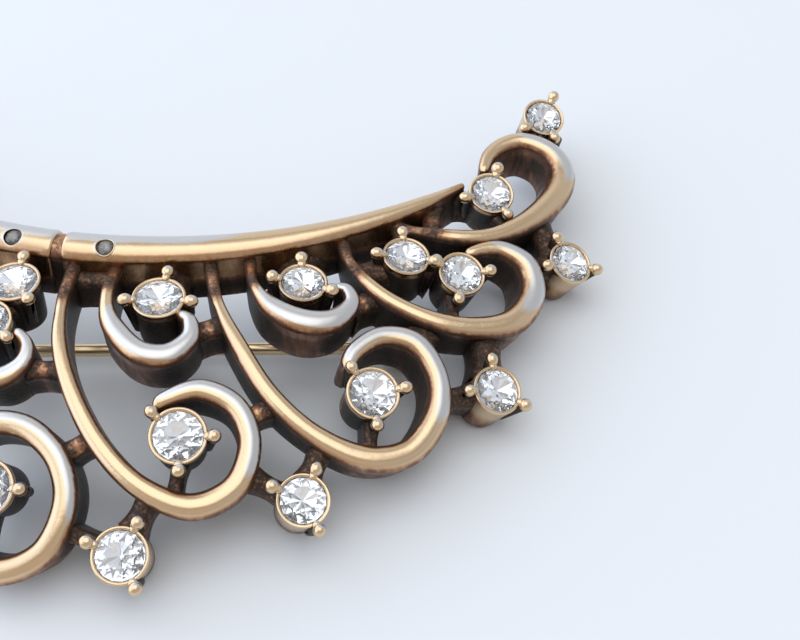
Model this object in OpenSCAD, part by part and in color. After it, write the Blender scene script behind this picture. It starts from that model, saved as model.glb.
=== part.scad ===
// Feather brooch: a domed, pierced casting with round stones in beaded cups.
// Plan tables are in millimetres from the middle of the spine's bow, +Y towards the spine's
// hollow side and +Z away from the wearer. The last step, placed(), moves the whole brooch so
// that the frame's origin lies under its middle and it stands on Z = 0.

/* [Arch] */
// Radius of the spine's bow, seen from above
bow_r = 30.5; // [28:0.5:34]
// Height of the spine's shoulder at its middle, above the table
crest = 6.81; // [6.7:0.01:6.9]
// Slope with which the arch climbs away from the spine
climb = 0.26; // [0.1:0.01:0.4]
// Curvature of the arch across the feather
arch = 0.025; // [0.015:0.001:0.03]
// Fall of both ends of the feather along its length
droop = 0.0026; // [0.001:0.0002:0.005]

/* [Casting] */
// Depth of the casting's side walls below the shoulder line
wall_depth = 2.7; // [2.2:0.1:3]
// Height of a barb's half-round top as a share of its width
crown_share = 0.42; // [0.3:0.02:0.5]
// Width of the spine at its middle
spine_w = 2.25; // [1.8:0.05:2.6]
// Half the width of the groove in the spine
groove_half = 0.28; // [0.2:0.02:0.6]

/* [Cups and stones] */
// Height of a cup's rim above the shoulder line
rim_rise = 0.35; // [0.2:0.05:0.6]
// Wall of a cup at its rim
rim_wall = 0.2; // [0.15:0.01:0.3]
// Gap between a stone and its seat
stone_gap = 0.03; // [0.02:0.01:0.06]
// Radius of a prong's bead
bead_r = 0.42; // [0.3:0.01:0.5]
// Diameter of the two small stones in the spine
chip_d = 1; // [0.8:0.05:1.2]

/* [Pin and findings] */
// Diameter of the pin wire
wire_d = 0.8; // [0.7:0.05:0.9]
// Height of the pin's axis above the table
pin_z = 1.15; // [1.1:0.05:1.25]
// Length of the pin from its pivot to its point
pin_len = 32; // [31:0.25:33]
// Diameter of the pivot rivet
rivet_d = 0.8; // [0.6:0.05:1]
// Clearance between the rivet and the pin's eye, on the radius
pivot_play = 0.04; // [0.02:0.01:0.08]
// Width of the pin's eye, along the rivet
eye_w = 1.1; // [0.9:0.1:1.4]
// Thickness of a hinge ear
ear_t = 0.5; // [0.4:0.05:0.7]

/* [Hidden] */
// The brooch's middle in the plan tables, and the turn with which it settles on its outer cups
middle = [0.63, -2.26];
settle = 0.85;

// Findings, in the placed frame: the pin's pivot and its catch, and the tops of both uprights
pivot = [-15.2, -0.75];
catch_x = 14.7;
hinge_top = 4.42;
catch_top = 2.5;
// Pegs with which hinge and catch are pressed into the casting
hinge_peg = [-14.9, -0.75];
peg_r = 0.25;
peg_h = 0.6;
fit_gap = 0.03;

// The arch turns over to a plain slope towards the tip
tip_turn = 0.2;
tip_flat = 0.01;
tip_reach = 20;
droop_x = -3.6;

// Barbs: x, y and width of each row along the middle of the band
SCROLL_0 = [
    [-13.9, 1.6, 1.0], [-14.6, -2.3, 0.85], [-14.5, -6.3, 0.95], [-13.5, -10.5, 1.05],
    [-11.7, -14.5, 1.15], [-9.2, -17.5, 1.3], [-6.2, -18.8, 1.5], [-3.5, -18.1, 1.5],
    [-2.35, -15.9, 1.4], [-2.9, -13.7, 1.35], [-4.7, -12.1, 1.4], [-6.9, -11.8, 1.3],
    [-8.4, -12.8, 0.8]];
SCROLL_1 = [
    [-3.8, -0.8, 0.9], [-3.8, -4.5, 0.68], [-3.5, -7.3, 0.88], [-2.5, -10.1, 1.0],
    [-0.8, -12.9, 1.12], [1.5, -15.0, 1.25], [4.3, -15.9, 1.5], [6.6, -14.8, 1.45],
    [7.3, -12.6, 1.32], [6.45, -10.7, 1.3], [4.5, -9.9, 1.25], [2.7, -10.5, 0.95],
    [2.1, -11.0, 0.65]];
SCROLL_2 = [
    [4.2, -0.6, 0.9], [5.0, -4.1, 0.68], [6.5, -7.2, 0.98], [8.3, -9.9, 1.12],
    [10.7, -11.8, 1.2], [13.5, -12.7, 1.5], [16.0, -12.0, 1.55], [17.5, -9.8, 1.5],
    [17.6, -7.6, 1.3], [16.4, -5.8, 1.38], [14.5, -5.6, 1.22], [13.0, -6.7, 1.1],
    [12.4, -7.9, 0.9]];
SCROLL_3 = [
    [12.0, 1.6, 0.8], [12.5, -0.3, 0.7], [13.5, -2.0, 0.88], [15.2, -3.3, 1.0],
    [17.6, -4.1, 1.2], [20.0, -4.0, 1.35], [22.2, -3.1, 1.65], [23.5, -1.0, 1.6],
    [23.3, 1.0, 1.5], [22.0, 1.85, 1.2], [20.8, 1.75, 0.98], [19.5, 1.1, 0.7]];
SCROLL_4 = [
    [14.9, 3.6, 0.7], [16.6, 2.65, 0.75], [18.8, 2.3, 1.0], [21.2, 2.85, 1.1],
    [23.5, 4.5, 1.45], [25.4, 6.9, 1.75], [26.1, 9.1, 1.7], [25.4, 10.7, 1.55],
    [23.7, 11.4, 1.35], [22.3, 10.9, 1.2], [21.3, 9.8, 1.0], [20.8, 8.2, 0.7]];
HOOK_0 = [
    [-10.7, 0.5, 0.8], [-11.0, -3.7, 0.7], [-10.3, -6.5, 1.2], [-8.7, -8.7, 1.4],
    [-6.8, -9.35, 1.35], [-5.5, -8.6, 1.05], [-5.3, -7.4, 0.85], [-6.1, -6.3, 0.6]];
HOOK_1 = [
    [-1.3, -0.7, 0.8], [-1.3, -4.2, 0.8], [-0.7, -6.05, 1.25], [0.8, -7.7, 1.42],
    [2.5, -7.95, 1.45], [3.65, -6.85, 1.15], [3.55, -5.6, 0.88], [2.8, -5.0, 0.5]];
HOOK_2 = [
    [6.5, -0.2, 0.8], [6.95, -2.6, 0.6], [8.05, -4.3, 1.25], [9.8, -5.25, 1.65],
    [11.5, -5.05, 1.5], [12.6, -3.8, 1.05], [12.4, -2.75, 0.8], [11.7, -2.5, 0.6]];
BARBS = [SCROLL_0, SCROLL_1, SCROLL_2, SCROLL_3, SCROLL_4, HOOK_0, HOOK_1, HOOK_2];

// Spine: angle along the bow, and the share of the full width there
SPINE = [[-60, 0.35], [-50, 0.66], [-38, 0.85], [-25, 0.96], [-10, 1], [0, 0.98], [10, 0.88],
    [20, 0.73], [28, 0.56], [34, 0.4], [39.5, 0.16]];
GROOVE_ANGLE = -8.8;
CHIP_ANGLES = [-13.9, -3.5];
// Turn round the spine's section to a small stone, and the slope of the section there
chip_turn = 25;
chip_lean = 21;

// Bridges and struts: both ends, width, and how far the top lies below the shoulder
BRIDGES = [
    [-2.7, -17.0, 0.2, -18.0, 1.0, 0.12], [2.1, -15.4, 1.1, -17.2, 1.4, 0.15],
    [7.4, -14.2, 9.6, -15.1, 1.3, 0.15], [11.4, -12.2, 10.5, -14.2, 1.4, 0.15],
    [17.6, -8.7, 20.0, -7.9, 1.3, 0.15], [20.9, -3.8, 21.0, -6.8, 1.9, 0.2],
    [24.4, 5.4, 25.6, 3.0, 1.8, 0.2], [23.6, 1.4, 25.0, 1.9, 1.6, 0.2],
    [23.8, 11.2, 24.6, 13.0, 1.0, 0.15], [25.6, 10.4, 26.0, 12.8, 0.9, 0.15],
    [-2.9, -13.5, -1.0, -12.4, 1.2, 0.1], [6.8, -11.4, 8.5, -10.3, 1.2, 0.1],
    [3.6, -6.1, 5.6, -5.2, 1.3, 0.15], [12.6, -3.7, 14.0, -2.6, 1.3, 0.15],
    [16.4, -6.2, 17.2, -4.1, 2.0, 0.25], [17.5, 5.4, 17.6, 2.6, 1.3, 0.3],
    [-5.5, -8.5, -3.2, -8.6, 1.2, 0.15], [-7.0, -16.0, -7.4, -18.4, 0.9, 0.35],
    [3.6, -13.6, 3.3, -15.6, 0.9, 0.35], [14.1, -10.4, 13.9, -12.5, 0.9, 0.35],
    [18.9, -1.7, 18.7, -3.9, 0.9, 0.35], [21.9, 5.0, 22.6, 3.8, 0.9, 0.35],
    [1.9, -3.0, 2.0, -0.6, 0.8, 0.3], [9.7, -1.4, 9.6, 1.1, 0.8, 0.3],
    [-6.8, -1.8, -6.7, 0.1, 0.8, 0.3], [15.7, 1.2, 15.3, 3.6, 0.8, 0.3],
    [14.6, 0.0, 12.8, -0.8, 1.7, 0.3], [19.0, 6.7, 20.4, 6.5, 0.9, 0.3],
    [-9.0, -5.6, -10.7, -5.1, 0.9, 0.3], [-4.0, -1.5, -1.2, -1.5, 1.2, 0.4],
    [17.6, -0.3, 17.0, 0.0, 1.0, 0.2], [-7.0, -4.3, -7.4, -4.9, 1.2, 0.2],
    [1.8, -2.6, 1.9, -0.4, 2.6, 0.5], [9.4, -1.4, 9.3, 0.9, 2.8, 0.5]];

// Cups: name, x, y, rim diameter, lean towards -Y, and the angles of the three prongs
CUPS = [
    ["curl_0", -6.6, -15.0, 3.2, 0, -3, -110, 133],
    ["curl_1", 3.5, -12.5, 3.2, 0, 140, 0, -86],
    ["curl_2", 13.9, -9.2, 3.1, 0, 14, -83, 132],
    ["curl_3", 19.1, -0.6, 2.9, 6, 163, 12, -98],
    ["curl_4", 21.2, 6.2, 2.9, 14, 76, -163, -57],
    ["edge_1", 0.7, -18.2, 3.15, -8, 64, 158, -62],
    ["edge_2", 10.2, -15.2, 3.0, -8, 70, 158, -61],
    ["edge_3", 21.0, -7.7, 3.0, -2, 101, -170, -24],
    ["edge_4", 26.0, 2.0, 2.9, 4, 120, -161, -6],
    ["edge_5", 25.1, 13.8, 2.8, 14, -142, -69, 66],
    ["hook_0", -7.8, -5.9, 3.0, 0, -39, -158, 98],
    ["hook_1", 1.7, -4.2, 3.1, 0, 81, -170, -9],
    ["hook_2", 9.8, -2.6, 2.9, 0, 96, 175, -19],
    ["spine_0", -6.8, -3.0, 3.1, 0, 83, -52, -158],
    ["spine_3", 15.8, 0.1, 2.9, 0, 98, -177, -7]];

METAL = [0.80, 0.66, 0.42];
CRYSTAL = [0.86, 0.90, 0.96];
CHIP = [0.50, 0.53, 0.55];
band_steps = 3;
spine_step = 2;
top_points = 5;
cup_sides = 14;

// Distance from the spine's bow, seen from above
function span(x, y) = norm([x, y - bow_r]) - bow_r;

// Height of the shoulder line over the table
function rise(x, y) =
    let (s = span(x, y), g = pow(max(0, x) / tip_reach, 2))
    crest + (climb - tip_turn * g) * s - (arch - tip_flat * g) * s * s
        - droop * pow(x - droop_x, 2);

function unit(v) = v / norm(v);
function on_arch(x, y) = [x, y, rise(x, y)];

// Direction square to the arch
function facing(x, y, h = 0.05) =
    unit([(rise(x - h, y) - rise(x + h, y)) / (2 * h),
        (rise(x, y - h) - rise(x, y + h)) / (2 * h), 1]);

// Row i of a table, carried straight on past both ends
function row(rows, i) =
    i < 0 ? 2 * rows[0] - rows[1]
    : i >= len(rows) ? 2 * rows[len(rows) - 1] - rows[len(rows) - 2]
    : rows[i];

// Smooth curve through rows i and i + 1 at t from 0 to 1
function curve(rows, i, t) =
    let (a = row(rows, i - 1), b = row(rows, i), c = row(rows, i + 1), d = row(rows, i + 2))
    0.5 * (2 * b + (c - a) * t + (2 * a - 5 * b + 4 * c - d) * t * t
        + (3 * b - a - 3 * c + d) * t * t * t);

function smooth(rows, steps) = concat(
    [for (i = [0:len(rows) - 2]) for (k = [0:steps - 1]) curve(rows, i, k / steps)],
    [rows[len(rows) - 1]]);

// Section of a band: half-round top on two straight walls
function section(w, sink) = concat(
    [for (k = [0:top_points - 1]) let (a = 180 * k / (top_points - 1))
        [w / 2 * cos(a), crown_share * w * sin(a) - sink]],
    [[-w / 2, -wall_depth], [w / 2, -wall_depth]]);

// Section of the band set square to its path on the arch
function ring(line, i, sink) =
    let (p = line[i],
        ahead = row(line, i + 1) - row(line, i - 1),
        n = facing(p[0], p[1]),
        side = unit(cross(n, [ahead[0], ahead[1], 0])),
        c = on_arch(p[0], p[1]))
    [for (q = section(p[2], sink)) c - side * q[0] + n * q[1]];

module band(line, sink = 0) {
    rings = [for (i = [0:len(line) - 1]) ring(line, i, sink)];
    m = len(rings[0]);
    last = len(rings) - 1;
    polyhedron(
        points = [for (r = rings) each r],
        faces = concat(
            [[for (j = [m - 1:-1:0]) j]],
            [for (i = [0:last - 1]) for (j = [0:m - 1])
                [i * m + j, i * m + (j + 1) % m, (i + 1) * m + (j + 1) % m, (i + 1) * m + j]],
            [[for (j = [0:m - 1]) last * m + j]]));
}

// Row of the spine at an angle of its bow
function spine_row(a, share = 1) =
    [bow_r * sin(a), bow_r * (1 - cos(a)), spine_w * share * lookup(a, SPINE)];

// One stretch of the spine, with both its ends rounded a little
module spine_stretch(from, to) {
    edge = 0.3;
    band(concat(
        [spine_row(from, 0.86)],
        [for (k = [0:ceil((to - from) / spine_step)])
            let (t = k / ceil((to - from) / spine_step))
            spine_row(from + edge + (to - from - 2 * edge) * t)],
        [spine_row(to, 0.86)]));
}

// Children set on the arch at x, y, facing out of it
module on_face(x, y, lean = 0) {
    n0 = facing(x, y);
    n = [n0[0], cos(lean) * n0[1] - sin(lean) * n0[2], sin(lean) * n0[1] + cos(lean) * n0[2]];
    e = unit([1, 0, 0] - n * n[0]);
    f = cross(n, e);
    p = on_arch(x, y);
    multmatrix([[e[0], f[0], n[0], p[0]], [e[1], f[1], n[1], p[1]], [e[2], f[2], n[2], p[2]]])
        children();
}

module cup(rim_d) {
    taper = 0.88;
    translate([0, 0, -wall_depth])
        cylinder(h = wall_depth + rim_rise, r1 = taper * rim_d / 2, r2 = rim_d / 2,
            $fn = cup_sides);
}

// Prong: a bead just outside the rim, on a rib that runs down the cup
module prong(rim_d, angle) {
    out = rim_d / 2 + 0.34;
    hull() {
        rotate(angle) translate([out, 0, rim_rise + 0.05]) sphere(r = bead_r, $fn = 6);
        rotate(angle) translate([out - 0.5, 0, rim_rise - 1.8])
            cylinder(h = 1.2, r = 0.3, $fn = 4);
    }
}

function stone_r(rim_d) = rim_d / 2 - rim_wall - stone_gap;

// Seat of a stone: its own shape with the gap added, open upwards
module seat(rim_d) {
    r = stone_r(rim_d) + stone_gap;
    girdle_z = rim_rise - 0.12;
    rotate_extrude($fn = cup_sides)
        polygon([[0, girdle_z - 0.1 - 0.8 * r], [r, girdle_z - 0.1], [r, girdle_z + 1],
            [0, girdle_z + 1]]);
}

// Round cut stone: flat table, crown facets, thin girdle and a pointed back
module cut_stone(r) {
    n = 8;
    ring_of = function(rr, z, turn, count) [for (k = [0:count - 1])
        let (a = 360 * (k + turn) / count) [rr * cos(a), rr * sin(a), z]];
    hull() polyhedron(
        points = concat(
            ring_of(0.56 * r, 0.36 * r, 0, n),
            ring_of(0.80 * r, 0.22 * r, 0.5, n),
            ring_of(r, 0.03 * r, 0.5, 2 * n),
            ring_of(r, -0.03 * r, 0.5, 2 * n),
            [[0, 0, -0.74 * r]]),
        faces = concat(
            [[for (k = [0:n - 1]) k]],
            [for (k = [0:n - 1]) [k, (k + 1) % n, n + k]],
            [[for (k = [n - 1:-1:0]) n + k]],
            [for (k = [0:2 * n - 1]) [2 * n + k, 2 * n + (k + 1) % (2 * n), 6 * n]]));
}

module placed() translate([-middle[0], -middle[1], 0]) rotate([0, settle, 0]) children();

// Place of a small stone on the spine, on the slope that faces the barbs
module on_spine(angle) {
    p = spine_row(angle);
    on_face(p[0], p[1]) rotate([0, 0, angle])
        translate([0, -sin(chip_turn) * p[2] / 2, cos(chip_turn) * crown_share * p[2]])
        rotate([chip_lean, 0, 0]) children();
}

// Flat pad under a barb, on which a finding sits
module pad(at, top, size) translate([at[0], at[1], top + fit_gap + 0.4])
    cube([size[0], size[1], 0.8], center = true);

// Peg on top of a finding, or with more room the hole for it
module peg(at, top, room = 0) translate([at[0], at[1], top - 0.2])
    cylinder(h = peg_h + 0.2 + room, r = peg_r + room, $fn = 12);

module casting() color(METAL) difference() {
    union() {
        pierced_body();
        pad(hinge_peg, hinge_top, [0.8, 2.6]);
        pad([catch_x, pivot[1]], catch_top, [1.4, 1]);
    }
    peg(hinge_peg, hinge_top, fit_gap);
    peg([catch_x, pivot[1]], catch_top, fit_gap);
}

module pierced_body() placed() difference() {
    union() {
        for (rows = BARBS) band(smooth(rows, band_steps));
        for (b = BRIDGES)
            band([[b[0], b[1], b[4]], [b[2], b[3], b[4]]], b[5] + crown_share * b[4]);
        spine_stretch(-60, GROOVE_ANGLE - groove_half * 2);
        spine_stretch(GROOVE_ANGLE + groove_half * 2, 39.5);
        band([spine_row(GROOVE_ANGLE - 1.5, 0.8), spine_row(GROOVE_ANGLE, 0.8),
            spine_row(GROOVE_ANGLE + 1.5, 0.8)], 0.05);
        for (c = CUPS) on_face(c[1], c[2], c[4]) {
            cup(c[3]);
            for (k = [5:7]) prong(c[3], c[k]);
        }
    }
    for (c = CUPS) on_face(c[1], c[2], c[4]) seat(c[3]);
    for (a = CHIP_ANGLES) on_spine(a)
        translate([0, 0, -0.6]) cylinder(h = 2, r = chip_d / 2 + stone_gap, $fn = cup_sides);
}

module stone(c) color(CRYSTAL) placed() on_face(c[1], c[2], c[4])
    translate([0, 0, rim_rise - 0.12]) cut_stone(stone_r(c[3]));

module chip(angle) color(CHIP) placed() on_spine(angle)
    translate([0, 0, -0.17]) cut_stone(chip_d / 2);

// Rod along Y through the pivot
module cross_rod(r, length) translate([pivot[0], pivot[1], pin_z]) rotate([90, 0, 0])
    cylinder(h = length, r = r, center = true, $fn = 48);

// Two ears under a plate, with the rivet through them
module hinge() color(METAL) {
    plate = [1.5, 3, 0.5];
    between = eye_w + 0.1;
    translate([pivot[0], pivot[1], hinge_top - plate[2] / 2]) cube(plate, center = true);
    peg(hinge_peg, hinge_top);
    for (side = [-1, 1]) translate([pivot[0], pivot[1] + side * (between + ear_t) / 2, 0]) {
        translate([0, 0, pin_z]) rotate([90, 0, 0])
            cylinder(h = ear_t, r = pin_z, center = true, $fn = 48);
        translate([0, 0, (pin_z + hinge_top) / 2])
            cube([plate[0], ear_t, hinge_top - pin_z], center = true);
    }
    cross_rod(rivet_d / 2, between + 2 * ear_t + 0.3);
}

// Round stretch of the pin that starts `from` millimetres past the pivot
module along_pin(from, length, r1, r2) translate([pivot[0] + from, pivot[1], pin_z])
    rotate([0, 90, 0]) cylinder(h = length, r1 = r1, r2 = r2, $fn = 32);

// Straight wire with an eye round the rivet, a tapered neck and a tapered point
module pin_stem() color(METAL) {
    eye_r = 0.85;
    wire_r = wire_d / 2;
    neck_r = wire_r + 0.14;
    neck_l = 1.7;
    point_l = 4;
    difference() {
        union() {
            cross_rod(eye_r, eye_w);
            along_pin(0, neck_l, neck_r, wire_r);
            along_pin(0, pin_len - point_l, wire_r, wire_r);
            along_pin(pin_len - point_l, point_l, wire_r, 0.06);
        }
        cross_rod(rivet_d / 2 + pivot_play, eye_w + 1);
    }
}

// Sleeve with a slot along its underside, through which the wire swings out
module catch() color(METAL) {
    sleeve_l = 1.6;
    slot_w = 1;
    bore_r = 0.6;
    peg([catch_x, pivot[1]], catch_top);
    translate([catch_x, pivot[1], 0]) difference() {
        union() {
            translate([0, 0, pin_z]) rotate([0, 90, 0])
                cylinder(h = sleeve_l, r = pin_z, center = true, $fn = 48);
            translate([0, 0, (pin_z + catch_top) / 2])
                cube([sleeve_l, 1, catch_top - pin_z], center = true);
        }
        translate([0, 0, pin_z]) rotate([0, 90, 0])
            cylinder(h = sleeve_l + 1, r = bore_r, center = true, $fn = 48);
        cube([sleeve_l + 1, slot_w, 2 * pin_z], center = true);
    }
}

casting();
hinge();
catch();
pin_stem();
for (k = [0, 1]) chip(CHIP_ANGLES[k]);
for (c = CUPS) stone(c);
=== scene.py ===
# %% [markdown]
# # A feather brooch
# The real brooch is one small casting in gold-plated metal. Scrolled barbs hang from a bowed
# spine, and round cut stones sit in cups with beaded prongs. The solid model gives the sizes
# and the moving parts, and this lesson dresses it: finer curves, worn plating, cut glass.

import math
import random

import bmesh
import bpy
from mathutils import Matrix, Vector
from mathutils.bvhtree import BVHTree


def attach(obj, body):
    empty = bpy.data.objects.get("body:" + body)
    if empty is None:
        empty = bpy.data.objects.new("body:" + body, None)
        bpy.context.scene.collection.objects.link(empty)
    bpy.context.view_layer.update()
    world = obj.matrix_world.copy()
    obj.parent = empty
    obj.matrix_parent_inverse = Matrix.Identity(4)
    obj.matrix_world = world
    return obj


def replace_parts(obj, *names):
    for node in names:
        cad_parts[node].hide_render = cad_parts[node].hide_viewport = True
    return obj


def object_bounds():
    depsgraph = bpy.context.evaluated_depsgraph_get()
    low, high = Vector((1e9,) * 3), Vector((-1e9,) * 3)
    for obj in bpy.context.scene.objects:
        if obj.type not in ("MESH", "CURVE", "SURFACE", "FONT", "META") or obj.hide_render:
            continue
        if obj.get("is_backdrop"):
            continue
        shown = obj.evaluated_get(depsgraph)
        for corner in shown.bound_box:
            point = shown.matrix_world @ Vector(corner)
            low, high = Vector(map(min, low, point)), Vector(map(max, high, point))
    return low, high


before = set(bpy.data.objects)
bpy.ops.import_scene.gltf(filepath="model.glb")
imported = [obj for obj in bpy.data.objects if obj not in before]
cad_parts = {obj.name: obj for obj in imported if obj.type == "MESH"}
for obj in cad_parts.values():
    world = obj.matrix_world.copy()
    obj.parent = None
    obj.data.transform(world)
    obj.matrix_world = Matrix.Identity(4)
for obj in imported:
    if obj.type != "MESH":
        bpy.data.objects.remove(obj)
cad_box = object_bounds()
MM = 0.001
print("solid model, mm:", [round(c / MM, 1) for corner in cad_box for c in corner])

# %% [markdown]
# ## The arch
# Every part of the casting lies on one domed surface, so its height is a rule and not a
# drawing. A point is given in plan, in millimetres, and the rule lifts it onto the dome. The
# last step turns the finished brooch by almost one degree, so that it rests on its outer cups.

# %% Height and direction of the arch
BOW_R = 30.5
CREST = 6.81
MIDDLE = Vector((0.63, -2.26, 0))
SETTLE = Matrix.Rotation(math.radians(0.85), 3, "Y")
CLIMB, ARCH = 0.26, 0.025
DROOP, DROOP_X = 0.0026, -3.6
# Towards the tip the arch turns over to a plain slope
TIP_REACH, TIP_TURN, TIP_FLAT = 20, 0.2, 0.01


def rise(x, y):
    """Height of the shoulder line over the table at a point in plan."""
    out = math.hypot(x, y - BOW_R) - BOW_R
    tip = (max(0, x) / TIP_REACH) ** 2
    return (CREST + (CLIMB - TIP_TURN * tip) * out - (ARCH - TIP_FLAT * tip) * out * out
            - DROOP * (x - DROOP_X) ** 2)


def facing(x, y, near=0.05):
    """Direction square to the arch."""
    slope_x = (rise(x - near, y) - rise(x + near, y)) / (2 * near)
    slope_y = (rise(x, y - near) - rise(x, y + near)) / (2 * near)
    return Vector((slope_x, slope_y, 1)).normalized()


def placed(point):
    """A point of the plan, in millimetres, as a place in the scene."""
    return (SETTLE @ Vector(point) - MIDDLE) * MM


print("height at the middle of the spine, mm:", round(rise(0, 0), 2))

# %% [markdown]
# ## The plan of the barbs
# A barb is drawn as a goldsmith would: a few places along its middle, with its width at each.
# Only the places where the curve or the width changes are listed, and a smooth curve through
# them does the rest. The tables are those of the solid model.

# %% Tables: x, y and width
SCROLLS = [
    [(-13.9, 1.6, 1.0), (-14.6, -2.3, 0.85), (-14.5, -6.3, 0.95), (-13.5, -10.5, 1.05),
     (-11.7, -14.5, 1.15), (-9.2, -17.5, 1.3), (-6.2, -18.8, 1.5), (-3.5, -18.1, 1.5),
     (-2.35, -15.9, 1.4), (-2.9, -13.7, 1.35), (-4.7, -12.1, 1.4), (-6.9, -11.8, 1.3),
     (-8.4, -12.8, 0.8)],
    [(-3.8, -0.8, 0.9), (-3.8, -4.5, 0.68), (-3.5, -7.3, 0.88), (-2.5, -10.1, 1.0),
     (-0.8, -12.9, 1.12), (1.5, -15.0, 1.25), (4.3, -15.9, 1.5), (6.6, -14.8, 1.45),
     (7.3, -12.6, 1.32), (6.45, -10.7, 1.3), (4.5, -9.9, 1.25), (2.7, -10.5, 0.95),
     (2.1, -11.0, 0.65)],
    [(4.2, -0.6, 0.9), (5.0, -4.1, 0.68), (6.5, -7.2, 0.98), (8.3, -9.9, 1.12),
     (10.7, -11.8, 1.2), (13.5, -12.7, 1.5), (16.0, -12.0, 1.55), (17.5, -9.8, 1.5),
     (17.6, -7.6, 1.3), (16.4, -5.8, 1.38), (14.5, -5.6, 1.22), (13.0, -6.7, 1.1),
     (12.4, -7.9, 0.9)],
    [(12.0, 1.6, 0.8), (12.5, -0.3, 0.7), (13.5, -2.0, 0.88), (15.2, -3.3, 1.0),
     (17.6, -4.1, 1.2), (20.0, -4.0, 1.35), (22.2, -3.1, 1.65), (23.5, -1.0, 1.6),
     (23.3, 1.0, 1.5), (22.0, 1.85, 1.2), (20.8, 1.75, 0.98), (19.5, 1.1, 0.7)],
    [(14.9, 3.6, 0.7), (16.6, 2.65, 0.75), (18.8, 2.3, 1.0), (21.2, 2.85, 1.1),
     (23.5, 4.5, 1.45), (25.4, 6.9, 1.75), (26.1, 9.1, 1.7), (25.4, 10.7, 1.55),
     (23.7, 11.4, 1.35), (22.3, 10.9, 1.2), (21.3, 9.8, 1.0), (20.8, 8.2, 0.7)]]
HOOKS = [
    [(-10.7, 0.5, 0.8), (-11.0, -3.7, 0.7), (-10.3, -6.5, 1.2), (-8.7, -8.7, 1.4),
     (-6.8, -9.35, 1.35), (-5.5, -8.6, 1.05), (-5.3, -7.4, 0.85), (-6.1, -6.3, 0.6)],
    [(-1.3, -0.7, 0.8), (-1.3, -4.2, 0.8), (-0.7, -6.05, 1.25), (0.8, -7.7, 1.42),
     (2.5, -7.95, 1.45), (3.65, -6.85, 1.15), (3.55, -5.6, 0.88), (2.8, -5.0, 0.5)],
    [(6.5, -0.2, 0.8), (6.95, -2.6, 0.6), (8.05, -4.3, 1.25), (9.8, -5.25, 1.65),
     (11.5, -5.05, 1.5), (12.6, -3.8, 1.05), (12.4, -2.75, 0.8), (11.7, -2.5, 0.6)]]


def smooth(rows, steps):
    """Points on a smooth curve through all the rows, with `steps` to each gap."""
    rows = [Vector(r) for r in rows]
    rows = [2 * rows[0] - rows[1]] + rows + [2 * rows[-1] - rows[-2]]
    line = []
    for a, b, c, d in zip(rows, rows[1:], rows[2:], rows[3:]):
        for k in range(steps):
            t = k / steps
            line.append(0.5 * (2 * b + (c - a) * t + (2 * a - 5 * b + 4 * c - d) * t ** 2
                               + (3 * b - a - 3 * c + d) * t ** 3))
    return line + [rows[-2]]


print(len(SCROLLS), "scrolls and", len(HOOKS), "hooks")

# %% [markdown]
# ## Backbones
# The bands will be made by Geometry Nodes from thin lines called backbones. A backbone is a
# mesh with edges and no faces, and each of its points carries what the section needs there:
# which way is up, which way is across, the width, and how far the top is sunk. Two more
# numbers are for the finish: how strongly the gold is kept against pale worn metal and painted
# reflection, and how far the stretch is painted dark.

# %% Make backbones
FIELDS = {"up": "FLOAT_VECTOR", "across": "FLOAT_VECTOR", "width": "FLOAT", "sink": "FLOAT",
          "gilt": "FLOAT", "dirt": "FLOAT"}


def linked(name, data):
    """New object in the scene."""
    obj = bpy.data.objects.new(name, data)
    bpy.context.collection.objects.link(obj)
    return obj


def backbone(name, lines):
    """One mesh of lines. A line is a list of (x, y, width, sink, limit for pale worn metal and
    painted sheen, darkening) in plan.
    """
    mesh = bpy.data.meshes.new(name)
    points, edges = [], []
    data = {field: [] for field in FIELDS}
    for line in lines:
        first = len(points)
        for i, (x, y, width, sink, gilt, dirt) in enumerate(line):
            before, after = line[max(i - 1, 0)], line[min(i + 1, len(line) - 1)]
            up = facing(x, y)
            ahead = Vector((after[0] - before[0], after[1] - before[1], 0))
            across = up.cross(ahead).normalized()
            points.append(placed((x, y, rise(x, y))))
            values = (SETTLE @ up, SETTLE @ across, [width * MM], [sink * MM], [gilt], [dirt])
            for field, value in zip(FIELDS, values):
                data[field] += list(value)
        edges += [(k, k + 1) for k in range(first, len(points) - 1)]
    mesh.from_pydata(points, edges, [])
    for field, kind in FIELDS.items():
        layer = mesh.attributes.new(field, kind, "POINT")
        layer.data.foreach_set("vector" if kind == "FLOAT_VECTOR" else "value", data[field])
    print(name, len(points), "points in", len(lines), "lines")
    return linked(name, mesh)


def step(low, high, value):
    """Soft step from 0 to 1."""
    t = min(max((value - low) / (high - low), 0), 1)
    return t * t * (3 - 2 * t)


# %% [markdown]
# ## The section
# A barb is half round on top and stands on two nearly straight walls. The section is a closed
# loop with three numbers at each point: `side` runs from -1 to 1 across the band, `crown` is
# the height on the half round, and `depth` runs down the wall. Because these are shares and
# not lengths, one section serves every width.

# %% Draw the section
TOP_STEPS = 16
WALL = [(0.95, 0.04), (0.93, 0.35), (0.93, 0.7), (0.89, 0.94), (0.8, 1.0)]


def give(mesh, **fields):
    """Stores each named value on all points of a mesh, or a value for each point."""
    for field, value in fields.items():
        values = value if isinstance(value, list) else [value] * len(mesh.vertices)
        layer = mesh.attributes.new(field, "FLOAT", "POINT")
        layer.data.foreach_set("value", values)


def section_object():
    """Closed loop of edges with the attributes side, crown and depth."""
    loop = []
    for k in range(TOP_STEPS + 1):
        a = math.pi * k / TOP_STEPS
        loop.append((math.cos(a), math.sin(a), 0))
    loop += [(-side, 0, depth) for side, depth in WALL]
    loop += [(side, 0, depth) for side, depth in reversed(WALL)]
    count = len(loop)
    mesh = bpy.data.meshes.new("section")
    mesh.from_pydata([(s * MM, (c - d) * MM, 0) for s, c, d in loop],
                     [(k, (k + 1) % count) for k in range(count)], [])
    side, crown, depth = (list(column) for column in zip(*loop))
    give(mesh, side=side, crown=crown, depth=depth)
    return linked("section", mesh)


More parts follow.
